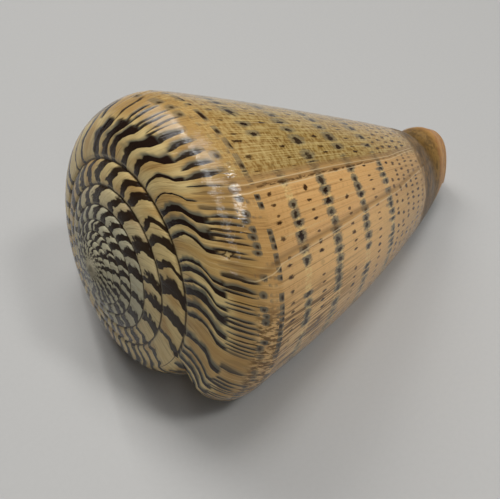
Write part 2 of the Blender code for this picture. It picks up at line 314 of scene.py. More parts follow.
def relief(turn, station, look):
    """Height of the surface detail above the plain form, in metres."""
    growth = np.exp(TURN_RATE * turn)
    age = np.degrees(turn - lead(station))
    # Suture: a sunk line with a raised thread on its outer side
    suture = look.suture_depth * growth
    thread = np.exp(-((station - THREAD_PLACE) / THREAD_WIDTH)**2)
    height = suture * (THREAD_SHARE * thread - np.exp(-(station / SUTURE_WIDTH)**2))
    height = height * (1.0 + SUTURE_UNEVEN * waves(turn, SUTURE_SEED, SUTURE_WAVES))
    # The last line of each earlier ramp dips under the next whorl
    earlier = turn < -tau + 1e-6
    dip = suture * np.exp(-((1.0 - station) / DIP_WIDTH)**2)
    height = height - np.where(earlier & (station <= 1.0), dip, 0.0)
    # Low folds of growth, strongest on the ramp and shoulder
    plain_end = smooth((PLAIN_END - station) / PLAIN_EASE)
    share = FOLDS_ON_SIDE + (1.0 - FOLDS_ON_SIDE) * smooth(FOLDS_FADE - station)
    folds = waves(age, FOLD_SEED, FOLD_WAVES) * share * plain_end
    height = height + look.fold_height * folds
    # Growth pauses: a low step, with a shallow furrow behind it
    fade = smooth((station - PAUSE_START) / PAUSE_EASE) * plain_end
    for start, change, tall in PAUSES:
        gap = age - pause_age(start, change, station)
        furrow = np.exp(-((gap + FURROW_BEHIND) / FURROW_WIDTH)**2)
        step = np.exp(-(gap / PAUSE_WIDTH)**2)
        height = height + tall * fade * (step - FURROW_SHARE * furrow)
    # Chip in the shoulder
    across = (np.degrees(turn) - CHIP_TURN) / CHIP_WIDTH
    down = (station - CHIP_STATION) / CHIP_HEIGHT
    return height - CHIP_DEPTH * smooth(1.4 - np.abs(across) - 0.7 * np.abs(down))


def last_rows():
    """Stations of the last whorl, from the suture to the anterior end, closer at the collar."""
    shoulder = 1.0 + np.arange(1, SHOULDER_ROWS + 1) / SHOULDER_ROWS
    plain_rows = SIDE_ROWS - COLLAR_ROWS
    plain = 2.0 + COLLAR_SHARE * np.arange(1, plain_rows) / plain_rows
    towards_end = np.arange(0, COLLAR_ROWS + 1) / COLLAR_ROWS
    closer = 2.0 + COLLAR_SHARE + (1.0 - COLLAR_SHARE) * towards_end
    end = 3.0 + np.arange(1, END_ROWS + 1) / END_ROWS
    return np.concatenate([RAMP_ROWS, shoulder, plain, closer, end])


class Skin:
    """Collects points and faces. A corner is a point's number with its turn and station."""

    def __init__(self):
        self.points = []
        self.faces = []
        self.marks = []
        self.inside = []

    def add(self, radius, depth, turn, station):
        """Keeps new points, and gives their corners."""
        first = len(self.points)
        turn, station = np.broadcast_arrays(turn, station)
        self.points.extend(place(radius, depth, turn))
        marks = zip(turn.tolist(), station.tolist())
        return [(first + i, mark) for i, mark in enumerate(marks)]

    def face(self, corners, inside=False):
        """One face, without a corner on a point that it already has."""
        kept = {}
        for point, mark in corners:
            kept.setdefault(point, mark)
        if len(kept) > 2:
            self.faces.append(list(kept))
            self.marks.extend(kept.values())
            self.inside.append(inside)

    def strip(self, first, second, inside=False):
        """Faces between two rows of corners."""
        for i in range(len(first) - 1):
            self.face((first[i], first[i + 1], second[i + 1], second[i]), inside)

    def outside(self, turn, rows, look):
        """Corners of a column of the outer surface, with its relief."""
        return self.add(*inset(turn, rows, -relief(turn, rows, look)), turn, rows)

    def on_axis(self, depth):
        """A point on the axis."""
        return self.add(np.zeros(1), np.full(1, depth), 0.0, np.zeros(1))[0][0]


def add_spire(skin, look):
    """Earlier ramps: one spiral strip, so the outer row of each is the suture of the next."""
    columns = look.columns
    ramp = np.array(RAMP_ROWS)
    turns = -(SKIN_WHORLS + 1) * tau + np.arange(SKIN_WHORLS * columns + 1) * tau / columns
    spiral = [skin.outside(turn, ramp[1:], look) for turn in turns]
    tip = skin.on_axis(0.0)
    for i, turn in enumerate(turns):
        point = spiral[i - columns][-1][0] if i >= columns else tip
        spiral[i].insert(0, (point, (float(turn), RAMP_ROWS[0])))
    for i in range(len(spiral) - 1):
        skin.strip(spiral[i], spiral[i + 1])
    start = spiral[0]
    for i in range(len(start) - 1):
        skin.face((start[i], start[i + 1], start[0]))
    return spiral


def add_last_whorl(skin, look, spiral):
    """Last whorl: column 0 lies under the lip, the last one is the lip's edge."""
    columns = look.columns
    rows = last_rows()
    suture = [column[-1] for column in spiral[-columns - 1:]]
    whorl = []
    for j in range(columns + 1):
        turn = -tau + (tau + lip_turn(rows)) * j / columns
        joined = spiral[-1] if j == 0 else [suture[j]]
        marks = zip(turn.tolist(), rows.tolist())
        column = [(point, mark) for (point, _), mark in zip(joined, marks)]
        whorl.append(column + skin.outside(turn[len(joined):], rows[len(joined):], look))
    for j in range(columns):
        skin.strip(whorl[j], whorl[j + 1])
    return whorl


def add_end(skin, whorl):
    """Closes the anterior end with a rounded cap."""
    anterior = skin.on_axis(float(outer(-tau / 2.0, 4.0)[1]))
    for before, after in zip(whorl, whorl[1:]):
        skin.face((before[-1], after[-1], (anterior, before[-1][1])))
    return anterior


def add_hollow(skin, whorl, anterior):
    """Aperture and hollow: outward is under the lip, inward is on the whorl before."""
    rows = last_rows()
    low = len(RAMP_ROWS) - 1
    side_end = len(rows) - END_ROWS
    under_lip = np.where(rows < 1.0, CORNER_RAMP + (1.0 - CORNER_RAMP) * rows, rows)
    over_whorl = np.clip(rows[low:side_end], 1.0, 3.0)
    over_whorl = np.where(over_whorl < 2.0,
                          CORNER_SHOULDER + (2.0 - CORNER_SHOULDER) * (over_whorl - 1.0),
                          2.0 + CAVITY_REACH * (over_whorl - 2.0))
    outward = whorl[-1] + [(anterior, whorl[-1][-1][1])]
    inward = whorl[0][low:] + [(anterior, whorl[0][-1][1])]
    for k in range(CAVITY_RINGS + 1):
        share = k / CAVITY_RINGS
        back = CAVITY_TURN * share**CAVITY_SPACING
        thickened = min(1.0, share / THICKENED)
        thickness = LIP_THICKNESS + (WALL_THICKNESS - LIP_THICKNESS) * thickened
        turn = lip_turn(rows) - back
        next_out = skin.add(*inset(turn, under_lip, thickness), turn, under_lip)
        turn = -tau - back - CAVITY_STEP
        next_in = skin.add(*outer(turn, over_whorl), turn, over_whorl)
        next_out.append(next_in[-1])
        skin.strip(next_out, outward, True)
        skin.face((outward[0], next_out[0], next_in[0], inward[0]), True)
        spare = len(inward) - len(next_in)
        skin.strip(inward, next_in + next_in[-1:] * spare, True)
        outward, inward = next_out, next_in

    # Inner end of the hollow
    last = low + len(inward) - 1
    for i in range(len(outward) - 1):
        if low <= i < last:
            skin.face((outward[i], outward[i + 1], inward[i + 1 - low], inward[i - low]), True)
        else:
            skin.face((outward[i], outward[i + 1], inward[0 if i < low else -1]), True)


def build_skin(look):
    """The whole shell: spire, last whorl, anterior end, lip and aperture."""
    skin = Skin()
    spiral = add_spire(skin, look)
    whorl = add_last_whorl(skin, look, spiral)
    anterior = add_end(skin, whorl)
    add_hollow(skin, whorl, anterior)
    return skin


def settle(points):
    """Wear the small resting flats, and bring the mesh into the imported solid's box."""
    points[:, 2] = np.maximum(points[:, 2], points[:, 2].min() + REST_FLAT)
    low, high = (np.array(corner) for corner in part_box("shell"))
    own_low, own_high = points.min(axis=0), points.max(axis=0)
    scale = (high - low) / (own_high - own_low)
    return low + (points - own_low) * scale


def shell_mesh(look):
    """Mesh of the shell, with its growth coordinates as UV maps."""
    skin = build_skin(look)
    points = settle(np.array(skin.points))
    data = bpy.data.meshes.new("shell_skin")
    data.from_pydata(points.tolist(), [], skin.faces)
    turn, station = np.array(skin.marks).T
    age = np.degrees(turn - lead(station))
    edges, widths = flame_edges()
    drift = look.flame_drift * (0.8 * smooth((station - 0.70) / 0.40) + smooth(1.0 - station / 0.6))
    phase = np.interp(age - drift, edges, np.arange(len(edges)))
    cell = np.clip(np.floor(phase).astype(int) + 1, 1, len(edges) - 1)
    share = np.clip(widths[cell] / (edges[cell] - edges[cell - 1]), *SHARE_RANGE)
    row = np.interp(station, SPOT_ROWS, np.arange(len(SPOT_ROWS)))
    for name, pair in (("growth", (age / AGE_UNIT, station)), ("flames", (phase, share)),
                       ("spots", (row, station))):
        layer = data.uv_layers.new(name=name)
        layer.data.foreach_set("uv", np.stack(pair, axis=1).ravel())
    data.polygons.foreach_set("material_index", np.array(skin.inside, int))
    data.shade_smooth()
    data.update()
    return data


class Value:
    """A socket of a material, so that shader maths reads as plain expressions."""

    def __init__(self, paint, socket):
        self.paint = paint
        self.socket = socket

    def math(self, operation, *others, clamp=False):
        settings = {"operation": operation, "use_clamp": clamp}
        inputs = {0: self}
        for index, other in enumerate(others):
            inputs[index + 1] = other
        return self.paint.value("ShaderNodeMath", settings, inputs)

    def __add__(self, other):
        return self.math("ADD", other)

    __radd__ = __add__

    def __sub__(self, other):
        return self.math("SUBTRACT", other)

    def __rsub__(self, other):
        return self.paint.value("ShaderNodeMath", {"operation": "SUBTRACT"}, {0: other, 1: self})

    def __mul__(self, other):
        return self.math("MULTIPLY", other)

    __rmul__ = __mul__

    def __truediv__(self, other):
        return self.math("DIVIDE", other)

    def __rtruediv__(self, other):
        return self.paint.value("ShaderNodeMath", {"operation": "DIVIDE"}, {0: other, 1: self})

    def __neg__(self):
        return self * -1.0

    def __pow__(self, other):
        return self.math("POWER", other)

    def floor(self):
        return self.math("FLOOR")

    def fract(self):
        return self.math("FRACT")

    def size(self):
        return self.math("ABSOLUTE")

    def most(self, other):
        return self.math("MAXIMUM", other)

    def clamp(self):
        return self.math("ADD", 0.0, clamp=True)

    def step(self, low, high):
        """Ease from 0 at low to 1 at high."""
        settings = {"interpolation_type": "SMOOTHSTEP"}
        inputs = {"Value": self, "From Min": low, "From Max": high, "To Min": 0.0, "To Max": 1.0}
        return self.paint.value("ShaderNodeMapRange", settings, inputs)

    def bump(self, centre, width):
        """A soft peak of height 1 at the centre."""
        away = ((self - centre) / width).size()
        return 1.0 - away.step(0.0, 1.0)


class Paint:
    """Makes the nodes of one material."""

    def __init__(self, name):
        self.material = bpy.data.materials.new(name)
        self.material.use_nodes = True
        self.tree = self.material.node_tree
        self.shader = self.tree.nodes["Principled BSDF"]

    def node(self, kind, settings, inputs):
        """A new node: its settings come first, then the values or links of its sockets."""
        made = self.tree.nodes.new(kind)
        for key, setting in settings.items():
            setattr(made, key, setting)
        for key, given in inputs.items():
            self.connect(self.find(made, key), given)
        return made

    def find(self, made, key):
        """A socket by number, identifier or name."""
        if isinstance(key, int):
            return made.inputs[key]
        for socket in made.inputs:
            if socket.identifier == key:
                return socket
        return made.inputs[key]

    def connect(self, socket, given):
        if isinstance(given, Value):
            self.tree.links.new(given.socket, socket)
        elif socket.type == "RGBA" and len(given) == 3:
            socket.default_value = (*given, 1.0)
        else:
            socket.default_value = given

    def value(self, kind, settings, inputs, output=0):
        """A new node's output, by number or name."""
        return Value(self, self.node(kind, settings, inputs).outputs[output])

    def mix(self, factor, first, second):
        """Colour between two colours."""
        settings = {"data_type": "RGBA"}
        inputs = {"Factor_Float": factor, "A_Color": first, "B_Color": second}
        made = self.node("ShaderNodeMix", settings, inputs)
        for socket in made.outputs:
            if socket.identifier == "Result_Color":
                return Value(self, socket)

    def vector(self, x, y):
        return self.value("ShaderNodeCombineXYZ", {}, {0: x, 1: y})

    def noise(self, vector, scale, detail=2.0, roughness=0.5):
        """Smooth noise, mostly from 0.3 to 0.7."""
        inputs = {"Vector": vector, "Scale": scale, "Detail": detail, "Roughness": roughness}
        return self.value("ShaderNodeTexNoise", {"noise_dimensions": "3D"}, inputs)

    def chance(self, x, y):
        """The same random number from 0 to 1 all over one cell."""
        vector = self.vector(x, y)
        return self.value("ShaderNodeTexWhiteNoise", {"noise_dimensions": "3D"},
                          {"Vector": vector})

    def two(self, map_name):
        """Both coordinates of a UV map."""
        place_on = self.value("ShaderNodeUVMap", {"uv_map": map_name}, {})
        split = self.node("ShaderNodeSeparateXYZ", {}, {0: place_on})
        return Value(self, split.outputs[0]), Value(self, split.outputs[1])

    def finish(self, sockets):
        """The material, once the shader's own sockets are set."""
        for key, given in sockets.items():
            self.connect(self.find(self.shader, key), given)
        return self.material


def srgb(red, green, blue):
    """Scene colour of an 8-bit screen colour."""
    return tuple((c / 255.0 / 12.92) if c < 10.3 else ((c / 255.0 + 0.055) / 1.055)**2.4
                 for c in (red, green, blue))


# Colours of the smaller marks
APEX_CREAM, SPIRE_CREAM = srgb(214, 204, 176), srgb(196, 190, 160)
SHOULDER_OCHRE, HIGH_OCHRE = srgb(176, 138, 80), srgb(184, 142, 84)
BRIGHT_TAN, DULL_TAN = srgb(238, 188, 122), srgb(176, 138, 84)
LINE_BROWN, LINE_CREAM = srgb(128, 88, 44), srgb(232, 206, 150)
HATCH_BROWN, HATCH_CREAM = srgb(104, 74, 34), srgb(216, 192, 130)
STREAK_BROWN, STREAK_CREAM = srgb(100, 70, 34), srgb(232, 196, 138)
SPOT_BROWN, ROW_CREAM = srgb(60, 36, 18), srgb(240, 214, 146)
PAUSE_BROWN, PAUSE_CREAM = srgb(140, 108, 68), srgb(232, 206, 160)
RAIL_BROWN, CHIP_CREAM = srgb(76, 48, 22), srgb(206, 176, 120)
GROOVE_BROWN, GROOVE_OLIVE = srgb(56, 38, 14), srgb(128, 96, 50)
BANK_BROWN, BANK_OLIVE = srgb(98, 74, 38), srgb(146, 112, 60)
RIM_BROWN, RIM_TAN = srgb(168, 118, 68), srgb(196, 146, 86)
# SUTURE_SHADE_BROWN is painted shade: it darkens the sunk suture and the ramp's edge under the next
# whorl
SUTURE_SHADE_BROWN, THREAD_CREAM = srgb(58, 40, 28), srgb(206, 190, 150)
LINING_CREAM = srgb(225, 215, 195)

# Ages in degrees between which a part of the pattern fades in
LAST_WHORL, OLDER_SIDE, YOUNG_SIDE = (-352.0, -340.0), (-96.0, -90.0), (-92.0, -84.0)
WORN_APEX, YOUNGER_SPIRE = (-4100.0, -2700.0), (-1150.0, -560.0)
BRIGHT_SIDE, DULL_SIDE, SPARSE_SPOTS = (-70.0, -62.0), (-46.0, -34.0), (-38.0, -34.0)
LIP_STREAKS = (-57.0, -44.0)

# Bands without flames: age of the middle, and half the width
PLAIN_BANDS = [(-85.5, 6.0), (-63.5, 5.0), (-27.0, 7.0)]
# Ages where the number of thin lines over the shoulder changes
STRAND_AGES = [-91.0, -118.0]

# Stations between which a part of the pattern fades in
SHOULDER_GROUND, SIDE_GROUND, SIDE_HATCH = (1.08, 1.3), (1.45, 1.75), (1.5, 1.75)
HIGH_SIDE, LOW_SIDE = (1.85, 2.2), (2.35, 2.75)
STREAK_TOP, STREAK_FOOT = (1.42, 1.55), (2.1, 2.42)
FLAME_END, LINES_START, LINES_END = (1.085, 1.15), (1.09, 1.14), (1.56, 1.70)
ROWS_START, ROWS_END, FORE_ROWS = (1.50, 1.52), (2.74, 2.79), (2.54, 2.56)
PAUSE_TOP, RAIL_TOP, RAIL_FOOT = (1.25, 1.6), (1.95, 2.03), (2.45, 2.6)
GROOVE_TOP, BANK_TOP, RIM_TOP = (2.755, 2.80), (2.885, 2.93), (2.935, 2.97)

# Dashed line along a growth pause: age at a station, and degrees that it leans per station
RAIL_AGE, RAIL_BEND, RAIL_LEAN = -89.0, 1.5, 1.2
# Degrees between spots, and the numbers of the row that is left out and of the tall one
SPOT_SPACING, UNUSED_ROW, TALL_ROW = 3.9, 2.0, 3.0


class Growth:
    """Where a point lies in the shell's growth, and what several of its marks share."""

    def __init__(self, paint, look):
        self.paint = paint
        self.look = look
        age_share, self.station = paint.two("growth")
        self.age = age_share * AGE_UNIT
        self.wander = self.grain(0.10, 2.2) - 0.5
        self.fine = self.grain(0.9, 0.8, 3.0, 0.6)
        self.finer = self.grain(3.0, 2.0)
        self.blot = self.grain(0.8, 60.0, 3.0, 0.7)
        self.mottle = self.grain(0.08, 56.0, 3.0, 0.65)
        self.on_last = self.age.step(*LAST_WHORL)
        self.older = 1.0 - self.age.step(*OLDER_SIDE)
        self.young = self.age.step(*YOUNG_SIDE)
        self.worn_apex = 1.0 - self.age.step(*WORN_APEX)
        bands = [self.age.bump(middle, reach) for middle, reach in PLAIN_BANDS]
        self.plain = (bands[0] + bands[1] + bands[2]).clamp() * self.on_last
        self.worn = self.station + (self.mottle - 0.5) * 0.14

    def grain(self, per_degree, per_station, detail=2.0, roughness=0.5, scale=1.0):
        """Noise drawn out along the growth lines or across them."""
        vector = self.paint.vector(self.age * per_degree, self.station * per_station)
        return self.paint.noise(vector, scale, detail, roughness)


def ground_colour(at):
    """Cream and ochre on the ramps, tan on the side, olive on its older part."""
    paint, look, age, station = at.paint, at.look, at.age, at.station
    slow = at.grain(0.06, 0.7)
    ground = paint.mix(slow.step(0.44, 0.66) * 0.8, look.cream, look.ochre)
    ground = paint.mix(at.plain * 0.8, ground, look.ochre)
    ground = paint.mix(1.0 - age.step(*YOUNGER_SPIRE), ground, SPIRE_CREAM)
    ground = paint.mix(station.step(*SHOULDER_GROUND) * 0.85, ground, SHOULDER_OCHRE)
    body = paint.mix(age.step(*BRIGHT_SIDE), look.tan, BRIGHT_TAN)
    body = paint.mix(at.older, body, look.olive)
    body = paint.mix((1.0 - station.step(*HIGH_SIDE)) * 0.7, body, HIGH_OCHRE)
    body = paint.mix(age.step(*DULL_SIDE) * 0.3, body, DULL_TAN)
    body = paint.mix(station.step(*LOW_SIDE) * 0.7, body, DULL_TAN)
    return paint.mix(station.step(*SIDE_GROUND), ground, body)


def growth_lines(at, colour):
    """Fine dark and pale lines that follow the lip."""
    lines = (at.fine - 0.5) * 1.6 + (at.finer - 0.5) * 1.1
    colour = at.paint.mix(lines.step(0.02, 0.45) * 0.6, colour, LINE_BROWN)
    return at.paint.mix((-lines).step(0.08, 0.5) * 0.55, colour, LINE_CREAM)


def cross_hatch(at, colour):
    """Spiral threads over growth lines, strong on the older side."""
    thread = at.grain(0.35, 95.0, 2.0, 0.6)
    upright = at.grain(1.7, 5.0, 2.0, 0.6)
    on_side = at.station.step(*SIDE_HATCH)
    pale = (thread.step(0.46, 0.58) + upright.step(0.50, 0.62)) * 0.5
    colour = at.paint.mix(pale * on_side * (0.12 + 0.55 * at.older), colour, HATCH_CREAM)
    dark = (1.0 - thread.step(0.38, 0.50)) * (1.0 - upright.step(0.40, 0.56))
    return at.paint.mix(dark * on_side * (0.15 + 0.4 * at.older), colour, HATCH_BROWN)


def lip_streaks(at, colour):
    """Brown streaks with pale gaps, low on the shoulder near the lip."""
    streak = at.grain(0.9, 5.0, 3.0, 0.65)
    near_lip = at.age.step(*LIP_STREAKS) * at.station.step(*STREAK_TOP)
    near_lip = near_lip * (1.0 - at.station.step(*STREAK_FOOT))
    pale = (1.0 - streak.step(0.40, 0.50)) * near_lip * 0.5
    colour = at.paint.mix(pale, colour, STREAK_CREAM)
    return at.paint.mix(streak.step(0.46, 0.55) * near_lip * 0.9, colour, STREAK_BROWN)


def flames(at, colour):
    """Flames of the ramps, near black up to a sharp edge, and the lines they break into."""
    paint, look, station = at.paint, at.look, at.station
    phase, share = paint.two("flames")
    shift = phase + at.wander * (0.30 + 0.35 * (1.0 - at.on_last))
    from_edge = 1.0 - shift.fract()
    swell = at.grain(0.12, 2.6, 1.0, scale=1.7)
    width = share * (0.75 + 1.25 * swell)
    dark_width = width * (1.0 - 0.18 * at.young * at.on_last)
    fill = 1.0 - from_edge.step(dark_width * 0.82, dark_width * 1.06)
    shade = 1.0 - from_edge.step(width * 0.9, width * 1.7)
    on_ramp = 1.0 - (station + at.wander * 0.2).step(*FLAME_END)
    blue = at.on_last * station.step(0.35, 0.8).most(at.young)
    colour = paint.mix(shade * on_ramp * (0.15 + 0.75 * blue), colour, look.slate)
    colour = paint.mix(fill * on_ramp * 0.97, colour, look.umber)
    colour = paint.mix(at.worn_apex * 0.8, colour, APEX_CREAM)
    return shoulder_lines(at, colour, shift, shade)


def shoulder_lines(at, colour, shift, shade):
    """A broken line where the flames end, and the thin lines that run on over the shoulder."""
    paint, look, station, age = at.paint, at.look, at.station, at.age
    past_first, past_second = (age.step(edge - 0.01, edge) for edge in STRAND_AGES)
    strands = 2.0 + past_first + (1.0 - past_second)
    spread = (station - 1.1).most(0.0) * 0.5 * at.older
    fan = (shift + spread + (at.finer - 0.5) * 0.06) * strands
    cell = fan.floor()
    luck, luck_two = paint.chance(cell, 3.0), paint.chance(cell, 5.0)
    from_line = 1.0 - fan.fract()
    breaking = station + at.wander * 0.2 + (luck - 0.5) * 0.03
    jag = breaking.bump(1.12, 0.06) * (1.0 - at.plain) * shade * luck_two.step(0.3, 0.5)
    colour = paint.mix(jag * 0.9, colour, look.umber)
    band = breaking.step(*LINES_START) * (1.0 - (station + luck * 0.2).step(*LINES_END))
    band = band * (1.0 - at.plain * 0.85)
    tail = 1.0 - (station + (luck_two - 0.5) * 0.2).step(1.25, 1.6) * 0.65
    start_in = 0.3 + 0.7 * (breaking + (luck_two - 0.5) * 0.14).step(1.08, 1.24)
    width = (0.26 + 0.28 * luck_two) * tail * start_in
    stroke = (1.0 - from_line.step(width, width + 0.12)) * luck.step(0.10, 0.16)
    haze = (1.0 - from_line.step(width + 0.1, width + 0.5)) * luck.step(0.15, 0.45)
    colour = paint.mix(haze * band * 0.85, colour, look.slate)
    return paint.mix(stroke * band * 0.88, colour, look.umber)


def spots(at, colour):
    """Spiral rows of ragged spots, the large ones with a blue-grey halo."""
    paint, look, age, station = at.paint, at.look, at.age, at.station
    row, _ = paint.two("spots")
    index = (row + 0.5).floor()
    fore = station.step(*FORE_ROWS)
    high = 1.0 - station.step(1.98, 1.985)
    big = (index * 0.5).fract().step(0.2, 0.3) * (1.0 - fore)
    offset = paint.chance(index, 17.0)
    spread = (1.0 + at.older * (0.40 + 0.35 * big)) * (1.0 - 0.34 * high * (1.0 - at.older))
    warp = paint.noise(paint.vector(age * 0.07, index * 5.3), 1.0) - 0.5
    lattice = age / (SPOT_SPACING * spread) + offset * 7.0 + warp * 2.2
    along_cell = lattice.floor()
    chance_a = paint.chance(along_cell, index)
    chance_b = paint.chance(along_cell + 0.37, index + 9.0)
    chance_c = paint.chance(along_cell + 0.71, index + 23.0)
    along = lattice.fract() - 0.5 + (chance_b - 0.5) * 0.35
    across = row - index
    from_row = across + (chance_c - 0.5) * (0.10 + 0.45 * high)
    ragged = (at.blot - 0.5) * 2.2 * (1.0 - 0.5 * high)
    half_long = 0.15 + 0.16 * big + 0.10 * chance_c + 0.11 * fore
    half_long = half_long / (1.0 + at.older * 0.3)
    half_wide = 0.11 + 0.02 * big + 0.13 * fore + 0.06 * chance_b + 0.10 * high
    half_wide = half_wide + 0.05 * at.older + 0.20 * index.bump(TALL_ROW, 0.5)
    reach = ((along / half_long)**2.0 + (from_row / half_wide)**2.0)**0.5 + ragged
    rows_on = station.step(*ROWS_START) * (1.0 - station.step(*ROWS_END))
    rows_on = rows_on * (1.0 - row.bump(UNUSED_ROW, 0.6))
    rows_on = rows_on * (1.0 - age.step(*SPARSE_SPOTS) * 0.35)
    present = (chance_a - 0.18 * high).step(0.08, 0.12) * rows_on
    soft = 1.0 - station.step(1.96, 2.08)
    spot = (1.0 - reach.step(0.5 - 0.3 * soft, 1.0 + 0.1 * soft)) * present
    halo = ((along + 0.10) / (half_long * 1.8))**2.0 + (from_row / (half_wide * 2.1))**2.0
    halo = (1.0 - (halo**0.5 + ragged * 0.6).step(0.55, 1.1)) * present * (big + high).clamp()
    gap = big * (1.0 - from_row.size().step(0.12, 0.28)) * station.step(2.0, 2.05)
    pale_gap = at.blot.step(0.44, 0.56) * (0.55 - 0.4 * at.older)
    colour = paint.mix(gap * pale_gap, colour, ROW_CREAM)
    colour = paint.mix(halo * (0.8 - 0.3 * at.older), colour, look.slate)
    brown = paint.mix(big * 0.8, SPOT_BROWN, look.umber)
    return paint.mix(spot * (0.8 + 0.2 * chance_b), colour, brown)


def pause_marks(at, colour):
    """Growth pauses: a brown band with a pale line in front, and a dashed line beside one."""
    paint, age, station = at.paint, at.age, at.station
    below = station.step(*PAUSE_TOP)
    for start, change, _ in PAUSES:
        bend = (station - PAUSE_BEND).most(0.0) * -change
        sweep = (station - SWEEP_START).most(0.0) * PAUSE_SWEEP
        away = age - start + bend + sweep + (at.finer - 0.5) * 0.5 + at.wander * 2.4
        colour = paint.mix(away.bump(-1.6, 2.2) * below * 0.65, colour, PAUSE_BROWN)
        colour = paint.mix(away.bump(0.25, 0.38) * below * 0.65, colour, PAUSE_CREAM)
    rail = age - RAIL_AGE + (station - RAIL_BEND) * RAIL_LEAN + at.wander * 2.4
    rail = rail.bump(0.0, 0.9) * station.step(*RAIL_TOP) * (1.0 - station.step(*RAIL_FOOT))
    speck = at.grain(1.3, 46.0, 2.0, 0.6)
    return paint.mix(rail * speck.step(0.42, 0.54) * 0.9, colour, RAIL_BROWN)


def chip_mark(at, colour):
    """Chip in the shoulder: pale inside, dark along its edges."""
    down = at.station - CHIP_STATION
    turn = at.age + degrees(LIP_LEAD) * 0.70
    skew = turn - CHIP_TURN + down * 9.0
    chip = skew.size() / 1.3 + down.size() / CHIP_HEIGHT + (at.blot - 0.5) * 1.4
    colour = at.paint.mix((1.0 - chip.step(1.0, 1.3)) * 0.8, colour, at.look.umber)
    return at.paint.mix(1.0 - chip.step(0.55, 0.9), colour, CHIP_CREAM)


def collar(at, colour):
    """Mottled dark groove, its olive bank, and the tan rim."""
    paint, mottle = at.paint, at.mottle
    groove = paint.mix(mottle.step(0.38, 0.62), GROOVE_BROWN, GROOVE_OLIVE)
    colour = paint.mix(at.worn.step(*GROOVE_TOP) * 0.95, colour, groove)
    bank = paint.mix(mottle.step(0.40, 0.60), BANK_OLIVE, BANK_BROWN)
    colour = paint.mix(at.worn.step(*BANK_TOP), colour, bank)
    rim = paint.mix(mottle.step(0.36, 0.64), RIM_TAN, RIM_BROWN)
    on_rim = (at.station + (mottle - 0.5) * 0.04).step(*RIM_TOP)
    return paint.mix(on_rim, colour, rim)


def suture_shade_and_thread(at, colour):
    """Painted shade in the sunk suture and under the next whorl's edge, with a pale thread beside
    it.
    """
    station = at.station
    colour = at.paint.mix(station.bump(0.10, 0.05) * 0.25, colour, THREAD_CREAM)
    # Painted shade: dark in the sunk suture line, and where an earlier ramp tucks under the next
    # whorl
    under_whorl_shade = station.step(0.97, 0.995) * (1.0 - station.step(1.0, 1.01))
    painted_crease_shade = (1.0 - station.step(0.015, 0.055)).most(under_whorl_shade * (1.0 - at.on_last))
    return at.paint.mix(painted_crease_shade * (1.0 - at.worn_apex) * 0.85, colour, SUTURE_SHADE_BROWN)


def shell_material(look):
    """Spotted and flamed outer surface, glossy but for the groove and the worn apex."""
    paint = Paint("shell_outside")
    at = Growth(paint, look)
    colour = ground_colour(at)
    # The last of these paints shade along the sutures
    for mark in (growth_lines, cross_hatch, lip_streaks, flames, spots, pause_marks,
                 chip_mark, collar, suture_shade_and_thread):
        colour = mark(at, colour)
    ripple = at.grain(1.5, 9.0, 2.0, 0.6)
    height = (at.fine - 0.5) * 0.7 + (at.finer - 0.5) * 0.3 + (ripple - 0.5) * 1.1
    bump = paint.value("ShaderNodeBump", {}, {"Strength": 1.0, "Distance": RIPPLE_HEIGHT,
                                              "Height": height})
    rough = 0.04 + 0.09 * at.fine + 0.3 * at.worn.step(2.76, 2.80) + 0.2 * at.worn_apex
    return paint.finish({"Base Color": colour, "Roughness": rough, "Normal": bump,
                         "IOR": SHELL_IOR})


def inside_material():
    """Glossy cream lining."""
    return Paint("shell_inside").finish({"Base Color": LINING_CREAM, "Roughness": 0.25})


class ShellLook(bpy.types.PropertyGroup):
    """Sizes of the shell's surface detail."""
    columns: IntProperty(name="Columns per turn", description="Mesh columns in one turn",
                         default=390, min=72, max=400)
    suture_depth: FloatProperty(name="Suture depth", default=0.00040, unit="LENGTH",
                                subtype="DISTANCE", precision=5,
                                description="Depth of the line between two whorls, at the lip")
    fold_height: FloatProperty(name="Fold height", default=0.00006, unit="LENGTH",
                               subtype="DISTANCE", precision=5,
                               description="Height of the low folds of growth")
    flame_drift: FloatProperty(name="Flame drift", default=3.2, min=0.0, max=8.0,
                               description="Degrees by which the flames run on at the shoulder")
    cream: FloatVectorProperty(name="Cream", subtype="COLOR", size=3, min=0.0, max=1.0,
                               default=srgb(221, 196, 136),
                               description="Ground colour between the flames")
    ochre: FloatVectorProperty(name="Ochre", subtype="COLOR", size=3, min=0.0, max=1.0,
                               default=srgb(188, 148, 86),
                               description="Plain bands of the ramp and shoulder")
    tan: FloatVectorProperty(name="Tan", subtype="COLOR", size=3, min=0.0, max=1.0,
                             default=srgb(230, 178, 114),
                             description="Ground colour of the side")
    olive: FloatVectorProperty(name="Olive", subtype="COLOR", size=3, min=0.0, max=1.0,
                               default=srgb(152, 120, 60),
                               description="Older part of the side")
    slate: FloatVectorProperty(name="Slate", subtype="COLOR", size=3, min=0.0, max=1.0,
                               default=srgb(92, 94, 84),
                               description="Blue-grey shade beside the flames and spots")
    umber: FloatVectorProperty(name="Umber", subtype="COLOR", size=3, min=0.0, max=1.0,
                               default=srgb(34, 18, 12),
                               description="Darkest part of the flames and spots")


